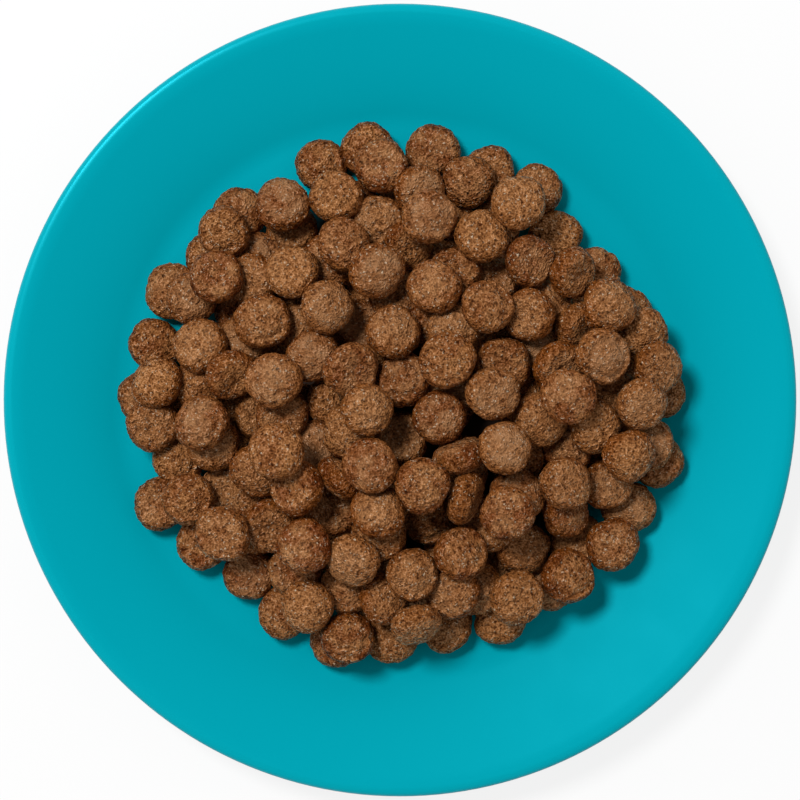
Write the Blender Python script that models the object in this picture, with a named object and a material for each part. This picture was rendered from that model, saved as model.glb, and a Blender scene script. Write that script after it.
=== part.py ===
"""A shallow round plate with a heap of dry pet food on it.

Metres, +Z up. The origin is under the plate's centre, on the surface that its foot stands on.
The photograph looks straight down on it: its right is +X and its top is +Y.

The 58 kibbles that lie uppermost are separate pieces. The ones below them are one solid,
joined where they touch.
"""

import math
import random

import bmesh
import bpy
import numpy as np
from mathutils import Matrix, Vector
from mathutils.bvhtree import BVHTree

# Plate
PLATE_RADIUS = 0.095
PLATE_THICKNESS = 0.0042
WELL_RADIUS = 0.068
FLANGE_RISE = 0.0088
RIM_ROLL_WIDTH = 0.0024
FOOT_RADIUS = 0.056
FOOT_WIDTH = 0.004
FOOT_HEIGHT = 0.0025
PLATE_SIDES = 64
ROLL_STEPS = 6

# Kibble: a disc with domed faces
KIBBLE_DIAMETER = 0.0129
KIBBLE_THICKNESS = 0.0068
KIBBLE_EDGE_POWER = 2.8
SHOULDER = 0.74
SIZE_SPREAD = 0.04
UPPER_SIDES = 10
LOWER_SIDES = 8
HIDDEN_SIDES = 6

# How the pieces meet
CLEARANCE = 0.0003
JOIN_DEPTH = 0.0004

# The photograph, in its own pixels: its middle, and the width of a kibble that lies on the plate
PHOTO_MIDDLE = (400, 400)
KIBBLE_PIXELS = 53.2
EYE_HEIGHT = 0.5

# How far an upper kibble is taken to lie above the ones on the plate, until its height is known
UPPER_GUESS = 0.02

# Kibbles that the photograph shows lying on the plate, as pixels across and down
ON_PLATE = [
    (240, 215), (212, 258), (173, 292), (156, 345), (147, 397), (179, 458), (160, 507),
    (199, 544), (250, 573), (286, 613), (337, 641), (392, 636), (446, 625), (500, 617),
    (550, 583), (627, 507), (655, 460), (661, 391), (625, 315), (594, 274), (554, 238),
    (534, 190), (484, 173), (432, 153), (373, 150), (321, 166), (292, 229), (226, 490),
    (240, 312), (498, 566), (262, 497), (258, 258), (575, 540), (330, 550), (252, 530), (306, 412),
    (188, 408),
]

# Kibbles that lie on those: pixels across and down, tilt, and the way the upper face leans.
# Degrees, counted anticlockwise from the photograph's right. The lowest come first.
LOWER = [
    (330, 262, 0, 0), (378, 222, 10, 200), (246, 340, 10, 140), (200, 385, 0, 0), (362, 320, 10, 0),
    (392, 298, 0, 0), (430, 320, 0, 0), (470, 345, 0, 0), (535, 345, 0, 0), (610, 395, 0, 0),
    (566, 446, 0, 0), (480, 585, 0, 0), (318, 445, 0, 0), (400, 438, 0, 0), (335, 508, 0, 0),
    (492, 283, 0, 0), (452, 385, 0, 0), (348, 586, 0, 0), (380, 596, 20, 40), (427, 518, 0, 0),
    (214, 444, 0, 0), (373, 364, 0, 0), (523, 455, 0, 0), (396, 487, 0, 0),
    (257, 418, 15, 340), (254, 281, 25, 180), (289, 274, 32, 150),
    (405, 250, 35, 315), (458, 278, 15, 0), (543, 302, 10, 0), (572, 325, 40, 340),
    (636, 338, 35, 280), (270, 526, 32, 260), (296, 566, 10, 220), (382, 530, 18, 120),
    (523, 548, 10, 90), (492, 526, 10, 200), (512, 497, 10, 90), (560, 512, 22, 0),
    (602, 484, 8, 300), (648, 444, 15, 20), (457, 590, 8, 300), (332, 400, 28, 330),
    (452, 330, 10, 90), (404, 380, 12, 120), (283, 414, 10, 270),
    (228, 236, 18, 330), (192, 298, 10, 120), (381, 167, 20, 90), (468, 182, 8, 300),
    (420, 198, 15, 300), (202, 346, 18, 165), (153, 425, 10, 300), (348, 632, 12, 160),
    (609, 541, 8, 0), (164, 383, 20, 135),
]

# The uppermost kibbles, in the same form
UPPER = [
    (460, 461, 88, 285), (466, 494, 70, 345), (337, 475, 84, 48), (416, 620, 68, 285),
    (283, 210, 22, 80), (339, 193, 8, 100), (340, 248, 20, 350), (478, 240, 10, 0), (515, 206, 8, 90),
    (527, 257, 12, 330), (530, 310, 30, 150), (654, 364, 26, 10), (507, 361, 25, 310),
    (313, 356, 12, 140), (346, 370, 18, 320), (253, 467, 18, 200), (203, 423, 6, 0), (189, 499, 6, 0),
    (228, 534, 10, 300), (302, 488, 24, 130), (373, 511, 28, 90), (343, 432, 18, 150),
    (422, 485, 10, 340), (559, 362, 36, 340), (540, 420, 26, 345), (590, 426, 18, 340), (356, 558, 12, 230),
    (412, 574, 16, 0), (311, 603, 8, 45), (512, 598, 8, 300), (565, 573, 4, 0),
    (217, 277, 6, 0), (268, 322, 8, 300), (322, 307, 4, 0), (372, 271, 8, 0), (429, 222, 6, 0),
    (438, 290, 4, 0), (487, 312, 6, 0), (568, 272, 30, 320), (604, 306, 8, 90), (642, 399, 26, 330),
    (599, 353, 6, 0), (447, 355, 4, 0), (393, 337, 4, 0), (226, 375, 28, 325), (274, 381, 6, 0),
    (280, 455, 8, 300), (309, 547, 6, 0), (461, 553, 14, 350), (507, 513, 6, 0), (562, 487, 4, 0),
    (626, 452, 14, 10), (572, 393, 10, 110), (488, 394, 6, 0), (500, 448, 12, 120),
    (367, 410, 20, 330), (375, 466, 4, 0), (436, 421, 4, 0),
]

# Kibbles hidden in the heap: how far out they reach, and how far apart they lie, in diameters.
# A spot counts as free when it lies at least FREE spacings from every other one.
HIDDEN_REACH = 4.5
HIDDEN_SPACING = 0.95
SECOND_HIDDEN_REACH = 3.4
SECOND_HIDDEN_SPACING = 1.04
FREE = 0.999

# Settling. A kibble leans and shifts a little from what the lists ask for where it then rests lower.
# The costs are how many metres lower it must rest for each degree of lean and each metre of shift.
GRID_STEP = 0.0005
SAMPLE_RINGS = (0, 0.2, 0.4, 0.58, 0.72, 0.84, 0.92, 0.97, 1)
SAMPLE_SIDES = 36
SETTLE_TILT = 18
SETTLE_STEPS = 3
SETTLE_SHIFT = 0.0012
TILT_COST = 0.00002
SHIFT_COST = 0.3

EIGHT_WAYS = [math.radians(angle) for angle in range(0, 360, 45)]

# Kibbles whose middles lie further apart than this many diameters can't meet
NEAR = 1.2


def material(name, colour, roughness):
    """A Principled material of one colour."""
    made = bpy.data.materials.new(name)
    made.use_nodes = True
    shader = made.node_tree.nodes["Principled BSDF"]
    shader.inputs["Base Color"].default_value = (*colour, 1)
    shader.inputs["Roughness"].default_value = roughness
    shader.inputs["Metallic"].default_value = 0
    return made


def lathe(profile, sides):
    """A closed solid turned about Z from (radius, height) points that run from the top's middle
    outwards and round to the bottom's middle."""
    solid = bmesh.new()
    rings = []
    for radius, height in profile:
        if radius == 0:
            rings.append([solid.verts.new((0, 0, height))])
            continue
        turns = [2 * math.pi * side / sides for side in range(sides)]
        rings.append(
            [solid.verts.new((radius * math.cos(a), radius * math.sin(a), height)) for a in turns]
        )
    for above, below in zip(rings, rings[1:]):
        for side in range(sides):
            after = (side + 1) % sides
            corners = [above[side % len(above)], below[side % len(below)]]
            corners += [below[after % len(below)], above[after % len(above)]]
            solid.faces.new(dict.fromkeys(corners))
    bmesh.ops.recalc_face_normals(solid, faces=solid.faces)
    return solid


def mesh_of(solid, name, finish):
    mesh = bpy.data.meshes.new(name)
    solid.to_mesh(mesh)
    solid.free()
    mesh.materials.append(finish)
    mesh.shade_smooth()
    mesh.set_sharp_from_angle(angle=math.radians(50))
    return mesh


def add_object(name, mesh):
    made = bpy.data.objects.new(name, mesh)
    bpy.context.scene.collection.objects.link(made)
    return made


# Plate

WELL_HEIGHT = FOOT_HEIGHT + PLATE_THICKNESS
CREST_RADIUS = PLATE_RADIUS - RIM_ROLL_WIDTH
FLANGE_SLOPE = math.atan2(FLANGE_RISE, CREST_RADIUS - WELL_RADIUS)


def plate_profile():
    """Half the plate's section: a flat well, a flange that rises straight to a rolled rim, and a foot."""
    half = PLATE_THICKNESS / 2
    turns = [math.pi / 2 - math.pi * step / ROLL_STEPS for step in range(ROLL_STEPS + 1)]
    middle = WELL_HEIGHT + FLANGE_RISE - half
    rim = [(CREST_RADIUS + RIM_ROLL_WIDTH * math.cos(a), middle + half * math.sin(a)) for a in turns]
    return [
        (0, WELL_HEIGHT),
        (WELL_RADIUS, WELL_HEIGHT),
        *rim,
        (WELL_RADIUS, FOOT_HEIGHT),
        (FOOT_RADIUS, FOOT_HEIGHT),
        (FOOT_RADIUS, 0),
        (FOOT_RADIUS - FOOT_WIDTH, 0),
        (FOOT_RADIUS - FOOT_WIDTH, FOOT_HEIGHT),
        (0, FOOT_HEIGHT),
    ]


def plate_top(radius):
    """Height of the plate's upper surface at a distance from its middle."""
    return WELL_HEIGHT + max(0, radius - WELL_RADIUS) * math.tan(FLANGE_SLOPE)


# Kibble

def kibble_profile(sides, growth=0):
    """Half a kibble's section, each side moved out by growth. The corners of a kibble with few
    sides lie outside its round outline, as far as the middles of its sides lie inside."""
    radius = KIBBLE_DIAMETER / (1 + math.cos(math.pi / sides)) + growth
    half = KIBBLE_THICKNESS / 2 + growth
    shoulder = half * math.sqrt(1 - SHOULDER**KIBBLE_EDGE_POWER)
    return [
        (0, half),
        (SHOULDER * radius, shoulder),
        (radius, 0),
        (SHOULDER * radius, -shoulder),
        (0, -half),
    ]


def kibble_points(growth, sides):
    """Corners and faces of a kibble's mesh at the origin."""
    solid = lathe(kibble_profile(sides, growth), sides)
    solid.verts.index_update()
    corners = [vert.co.copy() for vert in solid.verts]
    faces = [[vert.index for vert in face.verts] for face in solid.faces]
    solid.free()
    return corners, faces


def surface_samples():
    """Points spread over a kibble, for measuring how far it can drop."""
    radius = KIBBLE_DIAMETER / 2
    half = KIBBLE_THICKNESS / 2
    points = []
    for share in SAMPLE_RINGS:
        height = half * math.sqrt(1 - share**KIBBLE_EDGE_POWER)
        for side in range(SAMPLE_SIDES):
            angle = 2 * math.pi * side / SAMPLE_SIDES
            x, y = share * radius * math.cos(angle), share * radius * math.sin(angle)
            points += [(x, y, height), (x, y, -height)]
    return np.array(points)


def leaning(tilt, facing):
    """Rotation that tips a kibble's upper face by tilt degrees towards facing."""
    axis = Vector((-math.sin(math.radians(facing)), math.cos(math.radians(facing)), 0))
    return Matrix.Rotation(math.radians(tilt), 3, axis)


class Kibble:
    """One kibble's place in the heap. Joined ones become part of the lower solid."""

    def __init__(self, position, rotation, size, sides, joined):
        self.position = position
        self.rotation = rotation
        self.size = size
        self.sides = sides
        self.joined = joined
        self.surfaces = {}

    def moved(self, way):
        return Kibble(self.position + way, self.rotation, self.size, self.sides, self.joined)

    def corners(self, growth):
        points, _ = kibble_points(growth, self.sides)
        return [self.rotation @ (self.size * point) + self.position for point in points]

    def surface(self, growth):
        """The kibble's surface moved out by growth, for testing contacts."""
        if growth not in self.surfaces:
            _, faces = kibble_points(growth, self.sides)
            self.surfaces[growth] = BVHTree.FromPolygons(self.corners(growth), faces)
        return self.surfaces[growth]

    def height_into_plate(self):
        """How far the kibble would have to rise to clear the plate."""
        return max(plate_top(math.hypot(c.x, c.y)) - c.z for c in self.corners(CLEARANCE))

    def meets(self, other):
        """Whether two kibbles come too close, or where both join, sink in as deep as a joint."""
        growth = -JOIN_DEPTH / 2 if self.joined and other.joined else CLEARANCE / 2
        return bool(self.surface(growth).overlap(other.surface(growth)))


class Heap:
    """The kibbles laid so far, and the height of what lies under each point of the plate."""

    def __init__(self):
        self.sizes = random.Random(1)
        cells = int(2 * PLATE_RADIUS / GRID_STEP)
        middles = (np.arange(cells) + 0.5) * GRID_STEP - PLATE_RADIUS
        self.heights = np.empty((cells, cells))
        for row, x in enumerate(middles):
            self.heights[row] = [plate_top(math.hypot(x, y)) for y in middles]
        self.samples = surface_samples()
        self.laid = []

    def cells_under(self, points):
        cells = ((points[:, :2] + PLATE_RADIUS) / GRID_STEP).astype(int)
        cells = np.clip(cells, 0, len(self.heights) - 1)
        return cells[:, 0], cells[:, 1]

    def drop_height(self, spot, rotation):
        """How low the middle of a kibble can go over a spot."""
        points = self.samples @ np.array(rotation).T + (spot.x, spot.y, 0)
        return float((self.heights[self.cells_under(points)] - points[:, 2]).max())

    def settle(self, spot, tilt, facing):
        """The place and lean, near those asked for, in which a kibble's middle comes to rest lowest."""
        shifts = [Vector((0, 0))] + [Matrix.Rotation(a, 2) @ Vector((SETTLE_SHIFT, 0)) for a in EIGHT_WAYS]
        leans = [(0, 0)]
        for step in range(SETTLE_STEPS):
            leans += [(SETTLE_TILT * (step + 1) / SETTLE_STEPS, math.degrees(way)) for way in EIGHT_WAYS]
        best = None
        for extra, way in leans:
            rotation = leaning(extra, way) @ leaning(tilt, facing)
            for shift in shifts:
                cost = TILT_COST * extra + SHIFT_COST * shift.length
                cost += self.drop_height(spot + shift, rotation)
                if best is None or cost < best[0]:
                    best = (cost, spot + shift, rotation)
        return best[1:]

    def is_clear(self, kibble):
        """Whether a kibble meets neither another one nor the plate."""
        for other in self.laid:
            near = (other.position - kibble.position).length < NEAR * KIBBLE_DIAMETER
            if near and kibble.meets(other):
                return False
        return kibble.height_into_plate() <= 0

    def add(self, kibble):
        self.laid.append(kibble)
        points = self.samples * kibble.size @ np.array(kibble.rotation).T + np.array(kibble.position)
        for shift_x in (-GRID_STEP / 2, GRID_STEP / 2):
            for shift_y in (-GRID_STEP / 2, GRID_STEP / 2):
                cells = self.cells_under(points + (shift_x, shift_y, 0))
                np.maximum.at(self.heights, cells, points[:, 2])

    def next_size(self):
        return 1 + SIZE_SPREAD * self.sizes.uniform(-1, 1)

    def lay_flat(self, spots, sides):
        """Kibbles flat on the plate, each one slid towards its nearest neighbour until they join."""
        loose = list(spots)
        while loose:
            if self.laid:
                loose.sort(key=lambda spot: min((spot - k.position.xy).length for k in self.laid))
            kibble = Kibble(loose.pop(0).to_3d(), leaning(0, 0), self.next_size(), sides, True)
            kibble = kibble.moved(Vector((0, 0, kibble.height_into_plate())))
            if self.laid:
                nearest = min(self.laid, key=lambda k: (k.position - kibble.position).length)
                inwards = (nearest.position - kibble.position).xy.normalized().to_3d()
                while not kibble.meets(nearest):
                    kibble = kibble.moved(inwards * CLEARANCE / 2)
            self.add(kibble)

    def drop(self, spot, tilt, facing, sides, joined):
        """A kibble let down over a spot until it rests on what is there."""
        spot, rotation = self.settle(spot, tilt, facing)
        step = KIBBLE_THICKNESS / 8
        top = self.drop_height(spot, rotation) + KIBBLE_THICKNESS / 2
        kibble = Kibble(Vector((*spot, top)), rotation, self.next_size(), sides, joined)
        while not self.is_clear(kibble):
            kibble = kibble.moved(Vector((0, 0, step)))
        while step > CLEARANCE / 8:
            lower = kibble.moved(Vector((0, 0, -step)))
            if self.is_clear(lower):
                kibble = lower
            else:
                step /= 2
        self.add(kibble)


def on_photo(across, down, height=0):
    """The place seen at a pixel, for a kibble whose middle is this far above one on the plate."""
    scale = KIBBLE_DIAMETER / KIBBLE_PIXELS * (1 - height / EYE_HEIGHT)
    return scale * Vector((across - PHOTO_MIDDLE[0], PHOTO_MIDDLE[1] - down))


def beside_both(first, second, spacing):
    """The two spots that lie one spacing from both of these, where there are any."""
    apart = second - first
    if not 0 < apart.length < 2 * spacing:
        return []
    out = math.sqrt(spacing**2 - apart.length_squared / 4)
    across = Vector((-apart.y, apart.x)).normalized() * out
    return [first + apart / 2 + across, first + apart / 2 - across]


def pockets(spots, spacing, reach):
    """Fills the space between spots, from the outside in, with others one spacing from two of them."""
    spots = list(spots)
    added = []
    while True:
        found = []
        for index, first in enumerate(spots):
            for second in spots[:index]:
                found += beside_both(first, second, spacing)
        found = [
            spot
            for spot in found
            if spot.length < reach and all((spot - other).length > FREE * spacing for other in spots)
        ]
        if not found:
            return added
        outermost = max(found, key=lambda spot: spot.length)
        spots.append(outermost)
        added.append(outermost)


def heap_up():
    """Lays every kibble and returns the heap."""
    heap = Heap()
    on_plate = [on_photo(*spot) for spot in ON_PLATE]
    hidden = pockets(on_plate, HIDDEN_SPACING * KIBBLE_DIAMETER, HIDDEN_REACH * KIBBLE_DIAMETER)
    heap.lay_flat(hidden, HIDDEN_SIDES)
    heap.lay_flat(on_plate, LOWER_SIDES)
    lower = [(on_photo(across, down, KIBBLE_THICKNESS), *lean) for across, down, *lean in LOWER]
    shown = [spot for spot, _, _ in lower]
    reach = SECOND_HIDDEN_REACH * KIBBLE_DIAMETER
    for spot in pockets(shown, SECOND_HIDDEN_SPACING * KIBBLE_DIAMETER, reach):
        heap.drop(spot, 0, 0, HIDDEN_SIDES, True)
    for spot, tilt, facing in lower:
        heap.drop(spot, tilt, facing, LOWER_SIDES, True)
    for across, down, tilt, facing in UPPER:
        guess = on_photo(across, down, UPPER_GUESS)
        rise = heap.drop_height(guess, leaning(tilt, facing)) - WELL_HEIGHT - KIBBLE_THICKNESS / 2
        heap.drop(on_photo(across, down, rise), tilt, facing, UPPER_SIDES, False)
    return heap


def place(piece, kibble):
    piece.location = kibble.position
    piece.rotation_mode = "QUATERNION"
    piece.rotation_quaternion = kibble.rotation.to_quaternion()
    piece.scale = [kibble.size] * 3


def build_lower(kibbles, meshes):
    """The lower kibbles as one solid, by a union of them all."""
    parts = bpy.data.collections.new("lower kibbles to join")
    bpy.context.scene.collection.children.link(parts)
    whole = add_object("lower_kibbles", meshes[kibbles[0].sides])
    place(whole, kibbles[0])
    for number, kibble in enumerate(kibbles[1:], start=2):
        piece = bpy.data.objects.new(f"to_join_{number:03d}", meshes[kibble.sides])
        parts.objects.link(piece)
        place(piece, kibble)
        piece.hide_render = True
        piece.display_type = "WIRE"
    union = whole.modifiers.new("Join", "BOOLEAN")
    union.operation = "UNION"
    union.operand_type = "COLLECTION"
    union.collection = parts
    union.solver = "EXACT"


def main():
    for old in list(bpy.data.objects):
        bpy.data.objects.remove(old)
    glaze = material("turquoise glaze", (0.003, 0.35, 0.42), 0.2)
    baked = material("baked kibble", (0.16, 0.07, 0.03), 0.85)
    add_object("plate", mesh_of(lathe(plate_profile(), PLATE_SIDES), "plate", glaze))
    meshes = {}
    for sides in (HIDDEN_SIDES, LOWER_SIDES, UPPER_SIDES):
        meshes[sides] = mesh_of(lathe(kibble_profile(sides), sides), f"kibble of {sides} sides", baked)
    laid = heap_up().laid
    build_lower([kibble for kibble in laid if kibble.joined], meshes)
    upper = [kibble for kibble in laid if not kibble.joined]
    for number, kibble in enumerate(upper, start=1):
        place(add_object(f"kibble_{number:02d}", meshes[kibble.sides]), kibble)


main()
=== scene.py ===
"""A glazed plate with a heap of baked kibble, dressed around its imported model.

The plate and each kibble of the heap are pieces of their own. The plate takes its outer sizes
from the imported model. The heap is laid from the same spots in the photograph and by the same
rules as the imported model's, so that each kibble stands where its solid stands. Metres, +Z up.
The photograph looks straight down: its right is +X and its top is +Y.
"""

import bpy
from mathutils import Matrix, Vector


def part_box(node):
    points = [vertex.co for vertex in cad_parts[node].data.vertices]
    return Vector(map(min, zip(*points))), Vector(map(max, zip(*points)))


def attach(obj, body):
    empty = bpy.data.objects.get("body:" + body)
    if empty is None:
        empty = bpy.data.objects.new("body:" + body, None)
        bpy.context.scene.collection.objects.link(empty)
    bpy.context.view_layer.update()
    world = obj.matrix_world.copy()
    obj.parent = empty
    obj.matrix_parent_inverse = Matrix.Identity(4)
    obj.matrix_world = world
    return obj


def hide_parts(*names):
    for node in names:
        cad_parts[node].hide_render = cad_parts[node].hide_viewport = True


bl_info = {
    "name": "Plate of dry pet food",
    "version": (1, 0, 0),
    "blender": (4, 5, 0),
    "location": "View3D > Sidebar > Pet food",
    "description": "A glazed plate with a heap of baked kibble, on a white studio floor",
    "category": "Object",
}

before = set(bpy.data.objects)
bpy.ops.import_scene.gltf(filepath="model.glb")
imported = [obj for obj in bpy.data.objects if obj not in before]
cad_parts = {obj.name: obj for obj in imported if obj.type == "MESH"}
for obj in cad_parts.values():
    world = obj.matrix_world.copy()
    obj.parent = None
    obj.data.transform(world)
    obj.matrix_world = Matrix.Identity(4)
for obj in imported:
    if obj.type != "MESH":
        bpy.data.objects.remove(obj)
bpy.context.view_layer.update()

import functools
import math
import random

import bmesh
import bpy
import numpy as np
from mathutils import Matrix, Vector, noise
from mathutils.bvhtree import BVHTree

PLATE_RADIUS, _, PLATE_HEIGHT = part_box("plate")[1]

# Usual sizes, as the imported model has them
PLATE_THICKNESS = 0.0042
WELL_RADIUS = 0.068
RIM_ROLL = 0.0024
FOOT_HEIGHT = 0.0025
KIBBLE_DIAMETER = 0.0129
KIBBLE_THICKNESS = 0.0068

# The photograph, in its own pixels: its middle, and the width of a kibble that lies on the plate
PHOTO_MIDDLE = (400, 400)
KIBBLE_PIXELS = 53.2
EYE_HEIGHT = 0.5
# How far an upper kibble is taken to lie above the ones on the plate, until its height is known
UPPER_GUESS = 0.02

# Kibbles that the photograph shows lying on the plate, as pixels across and down
ON_PLATE = [
    (240, 215), (212, 258), (173, 292), (156, 345), (147, 397), (179, 458), (160, 507), (199, 544),
    (250, 573), (286, 613), (337, 641), (392, 636), (446, 625), (500, 617), (550, 583), (627, 507),
    (655, 460), (661, 391), (625, 315), (594, 274), (554, 238), (534, 190), (484, 173), (432, 153),
    (373, 150), (321, 166), (292, 229), (226, 490), (240, 312), (498, 566), (262, 497), (258, 258),
    (575, 540), (330, 550), (252, 530), (306, 412), (188, 408),
]

# Kibbles that lie on those: pixels across and down, tilt, and the way the upper face leans.
# Degrees, counted anticlockwise from the photograph's right. The lowest come first.
LOWER = [
    (330, 262, 0, 0), (378, 222, 10, 200), (246, 340, 10, 140), (200, 385, 0, 0),
    (362, 320, 10, 0), (392, 298, 0, 0), (430, 320, 0, 0), (470, 345, 0, 0), (535, 345, 0, 0),
    (610, 395, 0, 0), (566, 446, 0, 0), (480, 585, 0, 0), (318, 445, 0, 0), (400, 438, 0, 0),
    (335, 508, 0, 0), (492, 283, 0, 0), (452, 385, 0, 0), (348, 586, 0, 0), (380, 596, 20, 40),
    (427, 518, 0, 0), (214, 444, 0, 0), (373, 364, 0, 0), (523, 455, 0, 0), (396, 487, 0, 0),
    (257, 418, 15, 340), (254, 281, 25, 180), (289, 274, 32, 150), (405, 250, 35, 315),
    (458, 278, 15, 0), (543, 302, 10, 0), (572, 325, 40, 340), (636, 338, 35, 280),
    (270, 526, 32, 260), (296, 566, 10, 220), (382, 530, 18, 120), (523, 548, 10, 90),
    (492, 526, 10, 200), (512, 497, 10, 90), (560, 512, 22, 0), (602, 484, 8, 300),
    (648, 444, 15, 20), (457, 590, 8, 300), (332, 400, 28, 330), (452, 330, 10, 90),
    (404, 380, 12, 120), (283, 414, 10, 270), (228, 236, 18, 330), (192, 298, 10, 120),
    (381, 167, 20, 90), (468, 182, 8, 300), (420, 198, 15, 300), (202, 346, 18, 165),
    (153, 425, 10, 300), (348, 632, 12, 160), (609, 541, 8, 0), (164, 383, 20, 135),
]

# The uppermost kibbles, in the same form
UPPER = [
    (460, 461, 88, 285), (466, 494, 70, 345), (337, 475, 84, 48), (416, 620, 68, 285),
    (283, 210, 22, 80), (339, 193, 8, 100), (340, 248, 20, 350), (478, 240, 10, 0),
    (515, 206, 8, 90), (527, 257, 12, 330), (530, 310, 30, 150), (654, 364, 26, 10),
    (507, 361, 25, 310), (313, 356, 12, 140), (346, 370, 18, 320), (253, 467, 18, 200),
    (203, 423, 6, 0), (189, 499, 6, 0), (228, 534, 10, 300), (302, 488, 24, 130),
    (373, 511, 28, 90), (343, 432, 18, 150), (422, 485, 10, 340), (559, 362, 36, 340),
    (540, 420, 26, 345), (590, 426, 18, 340), (356, 558, 12, 230), (412, 574, 16, 0),
    (311, 603, 8, 45), (512, 598, 8, 300), (565, 573, 4, 0), (217, 277, 6, 0), (268, 322, 8, 300),
    (322, 307, 4, 0), (372, 271, 8, 0), (429, 222, 6, 0), (438, 290, 4, 0), (487, 312, 6, 0),
    (568, 272, 30, 320), (604, 306, 8, 90), (642, 399, 26, 330), (599, 353, 6, 0),
    (447, 355, 4, 0), (393, 337, 4, 0), (226, 375, 28, 325), (274, 381, 6, 0), (280, 455, 8, 300),
    (309, 547, 6, 0), (461, 553, 14, 350), (507, 513, 6, 0), (562, 487, 4, 0), (626, 452, 14, 10),
    (572, 393, 10, 110), (488, 394, 6, 0), (500, 448, 12, 120), (367, 410, 20, 330),
    (375, 466, 4, 0), (436, 421, 4, 0),
]

# Kibbles hidden in the heap: how far out they reach, and how far apart they lie, in diameters.
# A spot counts as free when it lies at least FREE spacings from every other one.
HIDDEN_REACH, HIDDEN_SPACING = 4.5, 0.95
SECOND_HIDDEN_REACH, SECOND_HIDDEN_SPACING = 3.4, 1.04
FREE = 0.999

# The plain kibbles that the heap is laid with, and how they meet
PLAIN_EDGE_POWER = 2.8
SHOULDER = 0.74
UPPER_SIDES, LOWER_SIDES, HIDDEN_SIDES = 10, 8, 6
SIZE_SPREAD = 0.04
CLEARANCE = 0.0003
JOIN_DEPTH = 0.0004
# Kibbles whose middles lie further apart than this many diameters can't meet
NEAR = 1.2

# Settling. A kibble leans and shifts a little from what the lists ask for where it then rests
# lower. The costs are how many metres lower for each degree of lean and each metre of shift.
GRID_STEP = 0.0005
SAMPLE_RINGS = (0, 0.2, 0.4, 0.58, 0.72, 0.84, 0.92, 0.97, 1)
SAMPLE_SIDES = 36
SETTLE_TILT, SETTLE_STEPS, SETTLE_SHIFT = 18, 3, 0.0012
TILT_COST, SHIFT_COST = 0.00002, 0.3
EIGHT_WAYS = [math.radians(angle) for angle in range(0, 360, 45)]

# How some upper kibbles look in the photograph, by their numbers in UPPER, and the forms that the
# others get at random
NOTED_FORMS = {
    "domed": (1, 4, 5, 7, 14, 16, 21, 22, 25, 29, 34, 35, 46, 48, 52, 56, 57),
    "ringed": (6, 17, 18, 28, 36, 42, 49),
    "dished": (10, 11, 15, 19, 20, 24, 32, 39, 45),
}
OTHER_FORMS = ("flat", "flat", "domed", "ringed")
DUSTY_TOP = (5, 14, 17, 34, 35, 36, 42, 46, 54, 55, 57, 58)
DUSTY_LOW_SHARE = 0.2
TOP_SEED, LOW_SEED, INNER_SEED = 11, 12, 13

# The kinds of kibble, how many different ones are made of each, and how detailed they are
FORMS = {"flat": 8, "domed": 6, "ringed": 5, "dished": 5}
SHOWN_DETAIL, INNER_DETAIL = 5, 3
# The power of the oval that is a kibble's section. At 2 it would be an ellipse
EDGE_POWER = 3.8
# Ridges and hollows round the upper face of each kind: the height in millimetres, then how far
# out and how wide it is, as shares of the radius
RELIEFS = {
    "flat": ((-0.15, 0, 0.6), (0.12, 0.82, 0.09)),
    "domed": ((0.6, 0, 0.45), (-0.2, 0.8, 0.12)),
    "ringed": ((0.55, 0, 0.38), (-0.45, 0.66, 0.1), (0.25, 0.84, 0.08)),
    "dished": ((-0.75, 0, 0.55), (0.26, 0.8, 0.12)),
}
# The skin's broad dents, crumbs and pits: how far apart they are in millimetres, and how high the
# dents and how deep the pits are against the crumbs. A pit opens where its noise passes PIT_LEVEL
DENT_GAP, CRUMB_GAP, PIT_GAP = 4.5, 1.3, 2.1
DENT_HEIGHT, PIT_DEPTH, PIT_LEVEL = 1.3, 6, 0.33
# How dusty, how golden at the edge with its painted shade, and how dark the kibbles are, from the
# least to the most
DUSTY, CLEAN, GOLDEN_SHADED, DARK = (0.55, 0.85), (0, 0.4), (0.35, 0.95), (0.1, 0.9)
# Where the golden edge, darkened as painted shade, begins and is full, as shares of the diameter
# out from the middle
EDGE_FROM, EDGE_TO = 0.3, 0.49
CRUMB_GLINT = "#FFDCC0"

# How finely the plate is turned, and the power of the oval that its rim is
PLATE_SIDES = 192
ROLL_STEPS = 32
RIM_POWER = 3
FILLET_STEPS = 6
# Metres over which the painted shade on the glaze under the heap fades, to each side, and how far
# its edge strays
SHADE_FADE, SHADE_STRAY = 0.004, 0.012
GLAZE_SHEEN = "#38E6FF"
CLAY_SAND = "#8C7B68"

# How far the background paper reaches each way, in metres
PAPER_REACH = 4

# A colour mix's sockets go by number, because several of them share a name
MIX_FACTOR, MIX_A, MIX_B, MIX_RESULT = 0, 6, 7, 2


def linear(hex_colour):
    """The linear colour of an sRGB hex value."""
    parts = [int(hex_colour[start:start + 2], 16) / 255 for start in (1, 3, 5)]
    return tuple(
        part / 12.92 if part <= 0.04045 else ((part + 0.055) / 1.055) ** 2.4 for part in parts
    )


def per_metre(millimetres):
    """The scale of a pattern whose features lie this far apart."""
    return 1000 / millimetres


def add_node(tree, kind, settings=None, inputs=None):
    """A node with its settings. Each input takes a value, or the socket that feeds it."""
    made = tree.nodes.new(kind)
    for name, value in (settings or {}).items():
        setattr(made, name, value)
    for name, value in (inputs or {}).items():
        if isinstance(value, bpy.types.NodeSocket):
            tree.links.new(value, made.inputs[name])
        else:
            made.inputs[name].default_value = value
    return made


def distance_out(tree, place):
    """How far a point is from the upright axis through the middle of its piece."""
    level = add_node(
        tree, "ShaderNodeVectorMath", {"operation": "MULTIPLY"}, {0: place, 1: (1, 1, 0)}
    )
    out = add_node(
        tree, "ShaderNodeVectorMath", {"operation": "LENGTH"}, {0: level.outputs["Vector"]}
    )
    return out.outputs["Value"]


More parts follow.
